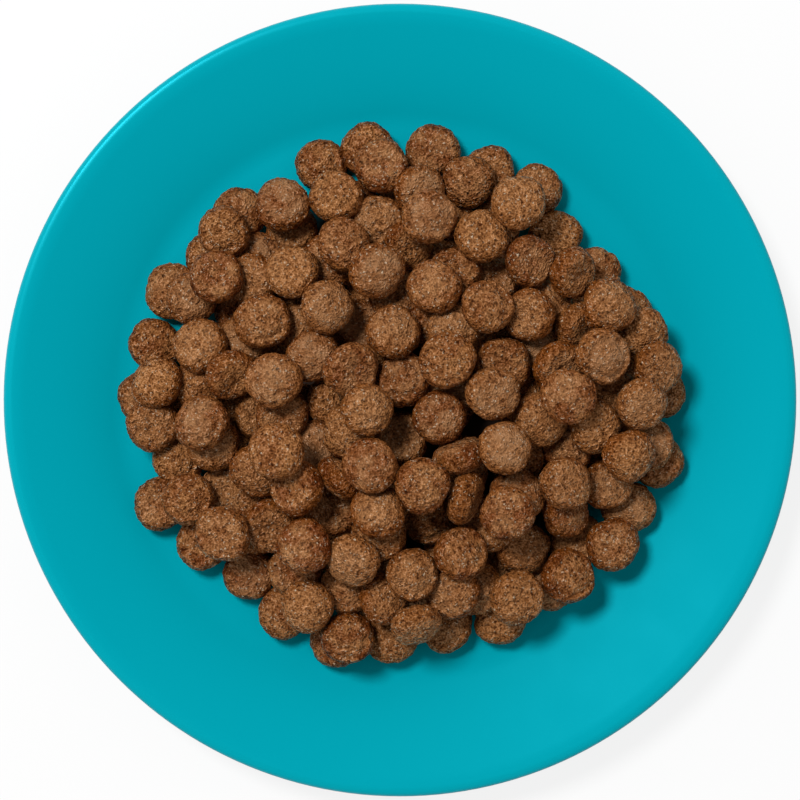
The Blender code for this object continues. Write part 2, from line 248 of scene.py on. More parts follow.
def new_material(name):
    """A material that has no nodes yet, and its node tree."""
    made = bpy.data.materials.new(name)
    made.use_nodes = True
    made.node_tree.nodes.clear()
    return made, made.node_tree


def add_object(name, data):
    """An object in the scene that shows this mesh, lamp or camera."""
    made = bpy.data.objects.new(name, data)
    bpy.context.scene.collection.objects.link(made)
    return made


class PlateSettings(bpy.types.PropertyGroup):
    """Sizes and colours of the glazed plate."""

    radius: bpy.props.FloatProperty(
        name="Radius", description="From the plate's middle to the outside of its rim",
        default=PLATE_RADIUS, min=0.02, unit="LENGTH", subtype="DISTANCE",
    )
    height: bpy.props.FloatProperty(
        name="Height", description="From the table to the top of the rim",
        default=PLATE_HEIGHT, min=0.005, unit="LENGTH", subtype="DISTANCE",
    )
    thickness: bpy.props.FloatProperty(
        name="Thickness", description="Thickness of the fired clay with its glaze",
        default=PLATE_THICKNESS, min=0.001, unit="LENGTH", subtype="DISTANCE",
    )
    well_radius: bpy.props.FloatProperty(
        name="Well radius", description="From the middle to where the flange starts to rise",
        default=WELL_RADIUS, min=0.01, unit="LENGTH", subtype="DISTANCE",
    )
    rim_roll: bpy.props.FloatProperty(
        name="Rim roll", description="Width of the outermost part, which rolls over",
        default=RIM_ROLL, min=0.001, unit="LENGTH", subtype="DISTANCE",
    )
    foot_radius: bpy.props.FloatProperty(
        name="Foot radius", description="From the middle to the outside of the foot ring",
        default=0.056, min=0.01, unit="LENGTH", subtype="DISTANCE",
    )
    foot_width: bpy.props.FloatProperty(
        name="Foot width", description="Width of the foot ring",
        default=0.004, min=0.001, unit="LENGTH", subtype="DISTANCE",
    )
    foot_height: bpy.props.FloatProperty(
        name="Foot height", description="How far the foot ring holds the plate off the table",
        default=FOOT_HEIGHT, min=0.0005, unit="LENGTH", subtype="DISTANCE",
    )
    glaze: bpy.props.FloatVectorProperty(
        name="Glaze", description="Colour of the glaze where it lies evenly",
        default=linear("#00A5B6"), min=0, max=1, subtype="COLOR",
    )
    thin_glaze: bpy.props.FloatVectorProperty(
        name="Thin glaze", description="Colour of the glaze where it runs thin over the rim",
        default=linear("#0AB0BE"), min=0, max=1, subtype="COLOR",
    )
    bare_clay: bpy.props.FloatVectorProperty(
        name="Bare clay", description="Colour of the unglazed ring that the plate stands on",
        default=linear("#CFC4B4"), min=0, max=1, subtype="COLOR",
    )
    # The next setting is painted shade: the dark brown of the glaze under the heap. The one after
    # it says how far out from the middle that shade lies
    heap_shade: bpy.props.FloatVectorProperty(
        name="Meal dust", description="Fine meal that sifted down onto the glaze under the heap",
        default=linear("#4A2812"), min=0, max=1, subtype="COLOR",
    )
    shaded_middle: bpy.props.FloatProperty(
        name="Dusty middle", description="How far out from the plate's middle the meal dust lies",
        default=0.054, min=0, unit="LENGTH", subtype="DISTANCE",
    )


class KibbleSettings(bpy.types.PropertyGroup):
    """Sizes and colours of the kibbles."""

    diameter: bpy.props.FloatProperty(
        name="Diameter", description="Usual width of a kibble",
        default=KIBBLE_DIAMETER, min=0.002, unit="LENGTH", subtype="DISTANCE",
    )
    thickness: bpy.props.FloatProperty(
        name="Thickness", description="Usual thickness of a kibble in its middle",
        default=KIBBLE_THICKNESS, min=0.001, unit="LENGTH", subtype="DISTANCE",
    )
    wobble: bpy.props.FloatProperty(
        name="Wobble", description="How far the outline strays from round",
        default=0.00026, min=0, unit="LENGTH", subtype="DISTANCE",
    )
    warp: bpy.props.FloatProperty(
        name="Warp", description="How far the edge bends up and down",
        default=0.00036, min=0, unit="LENGTH", subtype="DISTANCE",
    )
    lumps: bpy.props.FloatProperty(
        name="Lumps", description="Height of the coarse crumbs in the skin",
        default=0.00022, min=0, unit="LENGTH", subtype="DISTANCE",
    )
    grit: bpy.props.FloatProperty(
        name="Grit", description="Height of the fine grit in the skin",
        default=0.0008, min=0, unit="LENGTH", subtype="DISTANCE",
    )
    dark_crumb: bpy.props.FloatVectorProperty(
        name="Dark crumb", description="Colour of the darker grains",
        default=linear("#4A220A"), min=0, max=1, subtype="COLOR",
    )
    light_crumb: bpy.props.FloatVectorProperty(
        name="Light crumb", description="Colour of the paler grains",
        default=linear("#C5864E"), min=0, max=1, subtype="COLOR",
    )
    # The crust tint is partly golden crust and partly painted shade: it darkens the rim all round
    crust_and_shade: bpy.props.FloatVectorProperty(
        name="Crust", description="Golden tint of the edge, which bakes smoother",
        default=linear("#C9A96E"), min=0, max=1, subtype="COLOR",
    )
    browning: bpy.props.FloatVectorProperty(
        name="Browning", description="Tint of the patches that baked longer",
        default=linear("#B8906E"), min=0, max=1, subtype="COLOR",
    )
    dust: bpy.props.FloatVectorProperty(
        name="Dust", description="Colour of the meal that dusts the faces",
        default=linear("#A67852"), min=0, max=1, subtype="COLOR",
    )
    # The hollow colour is painted shade, in the pits and between the grains
    hollow_shade: bpy.props.FloatVectorProperty(
        name="Hollow", description="Colour of the pits between the grains",
        default=linear("#2E1506"), min=0, max=1, subtype="COLOR",
    )
    # The fleck colour is partly pale husk and partly painted glints
    fleck_and_glint: bpy.props.FloatVectorProperty(
        name="Fleck", description="Colour of the specks of grain husk",
        default=linear("#F4DDBE"), min=0, max=1, subtype="COLOR",
    )


class StageSettings(bpy.types.PropertyGroup):
    """The floor, the light and the camera."""

    floor: bpy.props.FloatVectorProperty(
        name="Floor", description="Colour of the paper that the plate stands on",
        default=linear("#6E6E6E"), min=0, max=1, subtype="COLOR",
    )
    floor_glow: bpy.props.FloatProperty(
        name="Floor glow", description="What the camera sees added to the floor, to make it white",
        default=0.84, min=0, max=1,
    )
    key_power: bpy.props.FloatProperty(
        name="Key light", description="Power of the soft light at the upper left",
        default=12.2, min=0, unit="POWER",
    )
    key_size: bpy.props.FloatProperty(
        name="Key size", description="Width of the soft light at the upper left",
        default=0.36, min=0.01, unit="LENGTH", subtype="DISTANCE",
    )
    key_distance: bpy.props.FloatProperty(
        name="Key distance", description="From the plate to the soft light",
        default=1.3, min=0.2, unit="LENGTH", subtype="DISTANCE",
    )
    key_rise: bpy.props.FloatProperty(
        name="Key rise", description="Angle of the soft light above the table",
        default=math.radians(59), min=0.1, max=1.5, unit="ROTATION", subtype="ANGLE",
    )
    tent_level: bpy.props.FloatProperty(
        name="Tent level", description="Brightness of the walls of the light tent",
        default=0.74, min=0, max=2,
    )
    tent_opening: bpy.props.FloatProperty(
        name="Tent opening", description="Brightness straight overhead, where the camera looks in",
        default=0, min=0, max=2,
    )
    tent_slant: bpy.props.FloatProperty(
        name="Tent slant", description="How much brighter the tent is on the key light's side",
        default=0.05, min=-1, max=1,
    )
    camera_height: bpy.props.FloatProperty(
        name="Camera height", description="From the table straight up to the camera",
        default=0.51, min=0.1, unit="LENGTH", subtype="DISTANCE",
    )
    view_width: bpy.props.FloatProperty(
        name="View width", description="How much the picture is wide, at the height of the rim",
        default=0.1911, min=0.02, unit="LENGTH", subtype="DISTANCE",
    )


# Plate


def glaze_material(plate):
    """Turquoise earthenware glaze, dipped and fired to a satin shine. The colour is even and deep
    where the glaze lies thick, and lights show in it as a broad sheen of its own colour. Over the
    rim it runs thin, paler and glossier. Under the heap it is painted dark brown, as painted shade
    where the plate shows through the gaps between the kibbles."""
    made, tree = new_material("fired_turquoise_glaze")
    coords = add_node(tree, "ShaderNodeTexCoord")
    out = distance_out(tree, coords.outputs["Object"])
    # The glaze thins from half a roll inside the rim's roll to near its outside
    thin = add_node(
        tree, "ShaderNodeMapRange", {"interpolation_type": "SMOOTHSTEP"},
        {
            "Value": out, "To Max": 0.3,
            "From Min": plate.radius - 1.5 * plate.rim_roll,
            "From Max": plate.radius - 0.3 * plate.rim_roll,
        },
    )
    # Clouds 25 mm across, where the dip left the glaze a little thicker or thinner
    clouds = add_node(
        tree, "ShaderNodeTexNoise", None,
        {"Vector": coords.outputs["Object"], "Scale": per_metre(25), "Detail": 2, "Roughness": 0.4},
    )
    cloudy = add_node(
        tree, "ShaderNodeMath", {"operation": "MULTIPLY_ADD", "use_clamp": True},
        {0: clouds.outputs["Fac"], 1: 0.12, 2: thin.outputs["Result"]},
    )
    colour = add_node(
        tree, "ShaderNodeMix", {"data_type": "RGBA"},
        {
            MIX_FACTOR: cloudy.outputs["Value"], MIX_A: (*plate.glaze, 1),
            MIX_B: (*plate.thin_glaze, 1),
        },
    )
    # Painted shade: dark brown on the glaze under the middle of the heap, where the plate shows
    # through the gaps between kibbles. Its edge is ragged, from noise 7 mm across
    ragged = add_node(
        tree, "ShaderNodeTexNoise", None,
        {"Vector": coords.outputs["Object"], "Scale": per_metre(7), "Detail": 3},
    )
    spread = add_node(
        tree, "ShaderNodeMath", {"operation": "MULTIPLY_ADD"},
        {0: ragged.outputs["Fac"], 1: SHADE_STRAY, 2: out},
    )
    shade_share = add_node(
        tree, "ShaderNodeMapRange", {"interpolation_type": "SMOOTHSTEP"},
        {
            "Value": spread.outputs["Value"], "From Min": plate.shaded_middle + SHADE_FADE,
            "From Max": plate.shaded_middle - SHADE_FADE, "To Max": 0.95,
        },
    )
    shaded_glaze = add_node(
        tree, "ShaderNodeMix", {"data_type": "RGBA"},
        {
            MIX_FACTOR: shade_share.outputs["Result"], MIX_A: colour.outputs[MIX_RESULT],
            MIX_B: (*plate.heap_shade, 1),
        },
    )
    # The faint waves of a melted surface, 9 mm apart
    waves = add_node(
        tree, "ShaderNodeTexNoise", None,
        {"Vector": coords.outputs["Object"], "Scale": per_metre(9), "Detail": 1},
    )
    gloss = add_node(
        tree, "ShaderNodeMapRange", None,
        {
            "Value": waves.outputs["Fac"], "From Min": 0.3, "From Max": 0.7,
            "To Min": 0.38, "To Max": 0.42,
        },
    )
    # The thin glaze over the rim is smoother and shines more, and the glaze is quite dull where the
    # painted shade lies
    smoother = add_node(
        tree, "ShaderNodeMath", {"operation": "MULTIPLY_ADD"},
        {0: thin.outputs["Result"], 1: -0.6, 2: gloss.outputs["Result"]},
    )
    dulled = add_node(
        tree, "ShaderNodeMath", {"operation": "MAXIMUM"},
        {0: smoother.outputs["Value"], 1: shade_share.outputs["Result"]},
    )
    shine = add_node(
        tree, "ShaderNodeMath", {"operation": "MULTIPLY_ADD"},
        {0: thin.outputs["Result"], 1: 0.8, 2: 0.14},
    )
    relief = add_node(
        tree, "ShaderNodeBump", None,
        {"Height": waves.outputs["Fac"], "Strength": 1, "Distance": 0.00001},
    )
    shader = add_node(
        tree, "ShaderNodeBsdfPrincipled", None,
        {
            "Base Color": shaded_glaze.outputs[MIX_RESULT], "Roughness": dulled.outputs["Value"],
            "IOR": 1.5, "Specular IOR Level": shine.outputs["Value"],
            "Specular Tint": (*linear(GLAZE_SHEEN), 1),
            "Normal": relief.outputs["Normal"],
        },
    )
    add_node(tree, "ShaderNodeOutputMaterial", None, {"Surface": shader.outputs["BSDF"]})
    return made


def bare_clay_material(plate):
    """Unglazed earthenware, wiped clean before firing. Matt and pale, with a fine sandy tooth."""
    made, tree = new_material("wiped_bare_earthenware")
    coords = add_node(tree, "ShaderNodeTexCoord")
    # Sand grains of 0.5 mm
    sand = add_node(
        tree, "ShaderNodeTexNoise", None,
        {"Vector": coords.outputs["Object"], "Scale": per_metre(0.5), "Detail": 3},
    )
    share = add_node(
        tree, "ShaderNodeMapRange", None,
        {
            "Value": sand.outputs["Fac"], "From Min": 0.35, "From Max": 0.65,
            "To Min": 0, "To Max": 0.35,
        },
    )
    colour = add_node(
        tree, "ShaderNodeMix", {"data_type": "RGBA"},
        {
            MIX_FACTOR: share.outputs["Result"], MIX_A: (*plate.bare_clay, 1),
            MIX_B: (*linear(CLAY_SAND), 1),
        },
    )
    relief = add_node(
        tree, "ShaderNodeBump", None,
        {"Height": sand.outputs["Fac"], "Strength": 1, "Distance": 0.0001},
    )
    shader = add_node(
        tree, "ShaderNodeBsdfPrincipled", None,
        {
            "Base Color": colour.outputs[MIX_RESULT], "Roughness": 0.9, "IOR": 1.5,
            "Normal": relief.outputs["Normal"],
        },
    )
    add_node(tree, "ShaderNodeOutputMaterial", None, {"Surface": shader.outputs["BSDF"]})
    return made


def rounded(before, corner, after, size):
    """Points that round a corner of a section, from size before it to size after it."""
    corner = Vector(corner)
    start = corner + (Vector(before) - corner).normalized() * size
    end = corner + (Vector(after) - corner).normalized() * size
    shares = [step / FILLET_STEPS for step in range(FILLET_STEPS + 1)]
    return [start * (1 - t) ** 2 + corner * 2 * t * (1 - t) + end * t**2 for t in shares]


def with_straights(points, longest):
    """The same section, with points added along its straights so that they shade as straight."""
    filled = [points[0]]
    for start, end in zip(points, points[1:]):
        parts = math.ceil((end - start).length / longest)
        filled += [start.lerp(end, part / parts) for part in range(1, parts + 1)]
    return filled


def squared(part):
    """A sine or cosine for an oval that is flatter on top than an ellipse, with tighter corners."""
    return math.copysign(abs(part) ** (2 / RIM_POWER), part)


def plate_section(plate):
    """Half the plate's section, from the well's middle out over the rim and back under the foot."""
    well = plate.foot_height + plate.thickness
    half = plate.thickness / 2
    crest = plate.radius - plate.rim_roll
    well_edge = (plate.well_radius, well)
    under_edge = (plate.well_radius, plate.foot_height)
    turns = [math.pi / 2 - math.pi * step / ROLL_STEPS for step in range(ROLL_STEPS + 1)]
    middle = plate.height - half
    rim = [
        Vector((
            crest + plate.rim_roll * squared(math.cos(turn)),
            middle + half * squared(math.sin(turn)),
        ))
        for turn in turns
    ]
    inner = plate.foot_radius - plate.foot_width
    foot = [
        (plate.foot_radius, plate.foot_height), (plate.foot_radius, 0),
        (inner, 0), (inner, plate.foot_height),
    ]
    # How far the foot's corners are eased
    ease = plate.foot_width / 6
    section = [
        Vector((0, well)),
        *rounded((0, well), well_edge, rim[0], plate.rim_roll),
        *rim,
        *rounded(rim[-1], under_edge, foot[0], plate.rim_roll),
        *rounded(under_edge, foot[0], foot[1], ease),
        *rounded(foot[0], foot[1], foot[2], ease),
        *rounded(foot[1], foot[2], foot[3], ease),
        *rounded(foot[2], foot[3], (0, plate.foot_height), ease),
        Vector((0, plate.foot_height)),
    ]
    return with_straights(section, 0.8 * plate.thickness)


def turned_mesh(name, section, sides):
    """A closed mesh turned about Z from (radius, height) points."""
    solid = bmesh.new()
    turns = [2 * math.pi * side / sides for side in range(sides)]
    rings = []
    for radius, height in section:
        spots = turns if radius > 0 else turns[:1]
        rings.append([
            solid.verts.new((radius * math.cos(turn), radius * math.sin(turn), height))
            for turn in spots
        ])
    for above, below in zip(rings, rings[1:]):
        for side in range(sides):
            after = (side + 1) % sides
            corners = [above[side % len(above)], below[side % len(below)]]
            corners += [below[after % len(below)], above[after % len(above)]]
            solid.faces.new(dict.fromkeys(corners))
    bmesh.ops.recalc_face_normals(solid, faces=solid.faces)
    mesh = bpy.data.meshes.new(name)
    solid.to_mesh(mesh)
    solid.free()
    mesh.shade_smooth()
    return mesh


class PETFOOD_OT_add_plate(bpy.types.Operator):
    """Turn the glazed plate, with its rolled rim and its bare foot ring"""

    bl_idname = "pet_food.add_plate"
    bl_label = "Add plate"

    def execute(self, context):
        plate = context.scene.pet_food_plate
        mesh = turned_mesh("glazed_plate", plate_section(plate), PLATE_SIDES)
        mesh.materials.append(glaze_material(plate))
        mesh.materials.append(bare_clay_material(plate))
        # Only the foot ring's sole is bare
        for face in mesh.polygons:
            face.material_index = int(face.center.z < 0.1 * plate.foot_height)
        piece = add_object("glazed_plate", mesh)
        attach(piece, "root")
        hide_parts("plate")
        return {"FINISHED"}


# The laying of the heap


def plate_top(radius):
    """Height of the plate's upper surface at a distance from its middle."""
    well_height = FOOT_HEIGHT + PLATE_THICKNESS
    slope = (PLATE_HEIGHT - well_height) / (PLATE_RADIUS - RIM_ROLL - WELL_RADIUS)
    return well_height + max(0, radius - WELL_RADIUS) * slope


def leaning(tilt, facing):
    """Rotation that tips a kibble's upper face by tilt degrees towards facing."""
    axis = Vector((-math.sin(math.radians(facing)), math.cos(math.radians(facing)), 0))
    return Matrix.Rotation(math.radians(tilt), 3, axis)


@functools.cache
def plain_kibble(growth, sides):
    """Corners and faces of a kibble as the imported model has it, with each side moved out. The
    corners of one with few sides lie outside its round outline, as far as its sides lie inside."""
    radius = KIBBLE_DIAMETER / (1 + math.cos(math.pi / sides)) + growth
    half = KIBBLE_THICKNESS / 2 + growth
    shoulder = half * math.sqrt(1 - SHOULDER**PLAIN_EDGE_POWER)
    rings = ((SHOULDER * radius, shoulder), (radius, 0), (SHOULDER * radius, -shoulder))
    corners = [Vector((0, 0, half)), Vector((0, 0, -half))]
    for out, height in rings:
        for side in range(sides):
            turn = 2 * math.pi * side / sides
            corners.append(Vector((out * math.cos(turn), out * math.sin(turn), height)))
    faces = []
    for side in range(sides):
        upper, middle, lower = (2 + row * sides + side for row in range(len(rings)))
        step = (side + 1) % sides - side
        faces += [(0, upper, upper + step), (lower, 1, lower + step)]
        faces += [(upper, middle, middle + step, upper + step)]
        faces += [(middle, lower, lower + step, middle + step)]
    return corners, faces


def kibble_samples():
    """Points spread over a plain kibble, for measuring how far it can drop."""
    points = []
    for share in SAMPLE_RINGS:
        out = share * KIBBLE_DIAMETER / 2
        height = KIBBLE_THICKNESS / 2 * math.sqrt(1 - share**PLAIN_EDGE_POWER)
        for side in range(SAMPLE_SIDES):
            turn = 2 * math.pi * side / SAMPLE_SIDES
            x, y = out * math.cos(turn), out * math.sin(turn)
            points += [(x, y, height), (x, y, -height)]
    return np.array(points)


class LaidKibble:
    """One kibble's place in the heap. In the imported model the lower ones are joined."""

    def __init__(self, position, rotation, size, sides):
        self.position = position
        self.rotation = rotation
        self.size = size
        self.sides = sides
        self.joined = sides != UPPER_SIDES
        self.surfaces = {}

    def moved(self, way):
        """The same kibble, this way from here."""
        return LaidKibble(self.position + way, self.rotation, self.size, self.sides)

    def corners(self, growth):
        """The kibble's corners where it lies, moved out by growth."""
        points, _ = plain_kibble(growth, self.sides)
        return [self.rotation @ (self.size * point) + self.position for point in points]

    def surface(self, growth):
        """The kibble's surface moved out by growth, for testing contacts."""
        if growth not in self.surfaces:
            _, faces = plain_kibble(growth, self.sides)
            self.surfaces[growth] = BVHTree.FromPolygons(self.corners(growth), faces)
        return self.surfaces[growth]

    def height_into_plate(self):
        """How far the kibble would have to rise to clear the plate."""
        return max(plate_top(math.hypot(c.x, c.y)) - c.z for c in self.corners(CLEARANCE))

    def meets(self, other):
        """Whether two kibbles come too close, or where both join, sink in as deep as a joint."""
        growth = -JOIN_DEPTH / 2 if self.joined and other.joined else CLEARANCE / 2
        return bool(self.surface(growth).overlap(other.surface(growth)))


class Heap:
    """The kibbles laid so far, and the height of what lies under each point of the plate."""

    def __init__(self):
        self.sizes = random.Random(1)
        cells = int(2 * PLATE_RADIUS / GRID_STEP)
        middles = (np.arange(cells) + 0.5) * GRID_STEP - PLATE_RADIUS
        self.heights = np.array([[plate_top(math.hypot(x, y)) for y in middles] for x in middles])
        self.samples = kibble_samples()
        self.laid = []

    def cells_under(self, points):
        """The cells of the height map that lie under some points."""
        cells = ((points[:, :2] + PLATE_RADIUS) / GRID_STEP).astype(int)
        cells = np.clip(cells, 0, len(self.heights) - 1)
        return cells[:, 0], cells[:, 1]

    def drop_height(self, spot, rotation):
        """How low the middle of a kibble can go over a spot."""
        points = self.samples @ np.array(rotation).T + (spot.x, spot.y, 0)
        return float((self.heights[self.cells_under(points)] - points[:, 2]).max())

    def settle(self, spot, tilt, facing):
        """The place and lean, near those asked for, in which a kibble comes to rest lowest."""
        shifts = [Vector((0, 0))]
        shifts += [Matrix.Rotation(way, 2) @ Vector((SETTLE_SHIFT, 0)) for way in EIGHT_WAYS]
        leans = [(0, 0)]
        for step in range(SETTLE_STEPS):
            extra = SETTLE_TILT * (step + 1) / SETTLE_STEPS
            leans += [(extra, math.degrees(way)) for way in EIGHT_WAYS]
        best = None
        for extra, way in leans:
            rotation = leaning(extra, way) @ leaning(tilt, facing)
            for shift in shifts:
                cost = TILT_COST * extra + SHIFT_COST * shift.length
                cost += self.drop_height(spot + shift, rotation)
                if best is None or cost < best[0]:
                    best = (cost, spot + shift, rotation)
        return best[1:]

    def is_clear(self, kibble):
        """Whether a kibble meets neither another one nor the plate."""
        for other in self.laid:
            near = (other.position - kibble.position).length < NEAR * KIBBLE_DIAMETER
            if near and kibble.meets(other):
                return False
        return kibble.height_into_plate() <= 0

    def add(self, kibble):
        """Lays a kibble and raises the heights under it, with no gaps between its samples."""
        self.laid.append(kibble)
        turned = self.samples * kibble.size @ np.array(kibble.rotation).T
        points = turned + np.array(kibble.position)
        for shift_x in (-GRID_STEP / 2, GRID_STEP / 2):
            for shift_y in (-GRID_STEP / 2, GRID_STEP / 2):
                cells = self.cells_under(points + (shift_x, shift_y, 0))
                np.maximum.at(self.heights, cells, points[:, 2])

    def next_size(self):
        """A kibble's size against the usual one."""
        return 1 + SIZE_SPREAD * self.sizes.uniform(-1, 1)

    def lay_flat(self, spots, sides):
        """Kibbles flat on the plate, each slid towards its nearest neighbour until they join."""
        loose = list(spots)
        while loose:
            if self.laid:
                loose.sort(key=lambda spot: min((spot - k.position.xy).length for k in self.laid))
            kibble = LaidKibble(loose.pop(0).to_3d(), leaning(0, 0), self.next_size(), sides)
            kibble = kibble.moved(Vector((0, 0, kibble.height_into_plate())))
            if self.laid:
                nearest = min(self.laid, key=lambda k: (k.position - kibble.position).length)
                inwards = (nearest.position - kibble.position).xy.normalized().to_3d()
                while not kibble.meets(nearest):
                    kibble = kibble.moved(inwards * CLEARANCE / 2)
            self.add(kibble)

    def drop(self, spot, tilt, facing, sides):
        """A kibble let down over a spot until it rests on what is there."""
        spot, rotation = self.settle(spot, tilt, facing)
        step = KIBBLE_THICKNESS / 8
        top = self.drop_height(spot, rotation) + KIBBLE_THICKNESS / 2
        kibble = LaidKibble(Vector((*spot, top)), rotation, self.next_size(), sides)
        while not self.is_clear(kibble):
            kibble = kibble.moved(Vector((0, 0, step)))
        while step > CLEARANCE / 8:
            lower = kibble.moved(Vector((0, 0, -step)))
            if self.is_clear(lower):
                kibble = lower
            else:
                step /= 2
        self.add(kibble)


def on_photo(across, down, height=0):
    """The place seen at a pixel, for a kibble whose middle is this far above one on the plate."""
    scale = KIBBLE_DIAMETER / KIBBLE_PIXELS * (1 - height / EYE_HEIGHT)
    return scale * Vector((across - PHOTO_MIDDLE[0], PHOTO_MIDDLE[1] - down))


def beside_both(first, second, spacing):
    """The two spots that lie one spacing from both of these, where there are any."""
    apart = second - first
    if not 0 < apart.length < 2 * spacing:
        return []
    out = math.sqrt(spacing**2 - apart.length_squared / 4)
    across = Vector((-apart.y, apart.x)).normalized() * out
    return [first + apart / 2 + across, first + apart / 2 - across]


def pockets(spots, spacing, reach):
    """Fills the space between spots, from the outside in, with others one spacing from two."""
    spots = list(spots)
    added = []
    while True:
        found = []
        for index, first in enumerate(spots):
            for second in spots[:index]:
                found += beside_both(first, second, spacing)
        found = [
            spot for spot in found
            if spot.length < reach and all((spot - o).length > FREE * spacing for o in spots)
        ]
        if not found:
            return added
        outermost = max(found, key=lambda spot: spot.length)
        spots.append(outermost)
        added.append(outermost)


@functools.cache
def laid_kibbles():
    """Every kibble of the heap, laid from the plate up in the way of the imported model."""
    heap = Heap()
    on_plate = [on_photo(*spot) for spot in ON_PLATE]
    spacing, reach = HIDDEN_SPACING * KIBBLE_DIAMETER, HIDDEN_REACH * KIBBLE_DIAMETER
    heap.lay_flat(pockets(on_plate, spacing, reach), HIDDEN_SIDES)
    heap.lay_flat(on_plate, LOWER_SIDES)
    lower = [(on_photo(across, down, KIBBLE_THICKNESS), *lean) for across, down, *lean in LOWER]
    shown = [spot for spot, _, _ in lower]
    spacing = SECOND_HIDDEN_SPACING * KIBBLE_DIAMETER
    for spot in pockets(shown, spacing, SECOND_HIDDEN_REACH * KIBBLE_DIAMETER):
        heap.drop(spot, 0, 0, HIDDEN_SIDES)
    for spot, tilt, facing in lower:
        heap.drop(spot, tilt, facing, LOWER_SIDES)
    lowest = plate_top(0) + KIBBLE_THICKNESS / 2
    for across, down, tilt, facing in UPPER:
        guess = on_photo(across, down, UPPER_GUESS)
        rise = heap.drop_height(guess, leaning(tilt, facing)) - lowest
        heap.drop(on_photo(across, down, rise), tilt, facing, UPPER_SIDES)
    return heap.laid


def numbered(sides):
    """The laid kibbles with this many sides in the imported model, counted from 1."""
    return enumerate((kibble for kibble in laid_kibbles() if kibble.sides == sides), start=1)


# Kibbles


def scattered_spots(tree, place, apart, channel, left_out, reach, most):
    """Spots this many millimetres apart, with a share of them left out by a channel of their
    cells' random colours. Each fades from its most to nothing over this reach of its cell."""
    cells = add_node(
        tree, "ShaderNodeTexVoronoi", None,
        {"Vector": place, "Scale": per_metre(apart), "Randomness": 1},
    )
    pick = add_node(tree, "ShaderNodeSeparateColor", None, {"Color": cells.outputs["Color"]})
    here = add_node(
        tree, "ShaderNodeMath", {"operation": "GREATER_THAN"},
        {0: pick.outputs[channel], 1: left_out},
    )
    spot = add_node(
        tree, "ShaderNodeMapRange", None,
        {
            "Value": cells.outputs["Distance"], "From Min": reach[0], "From Max": reach[1],
            "To Min": most, "To Max": 0,
        },
    )
    return add_node(
        tree, "ShaderNodeMath", {"operation": "MULTIPLY"},
        {0: here.outputs["Value"], 1: spot.outputs["Result"]},
    ).outputs["Value"]


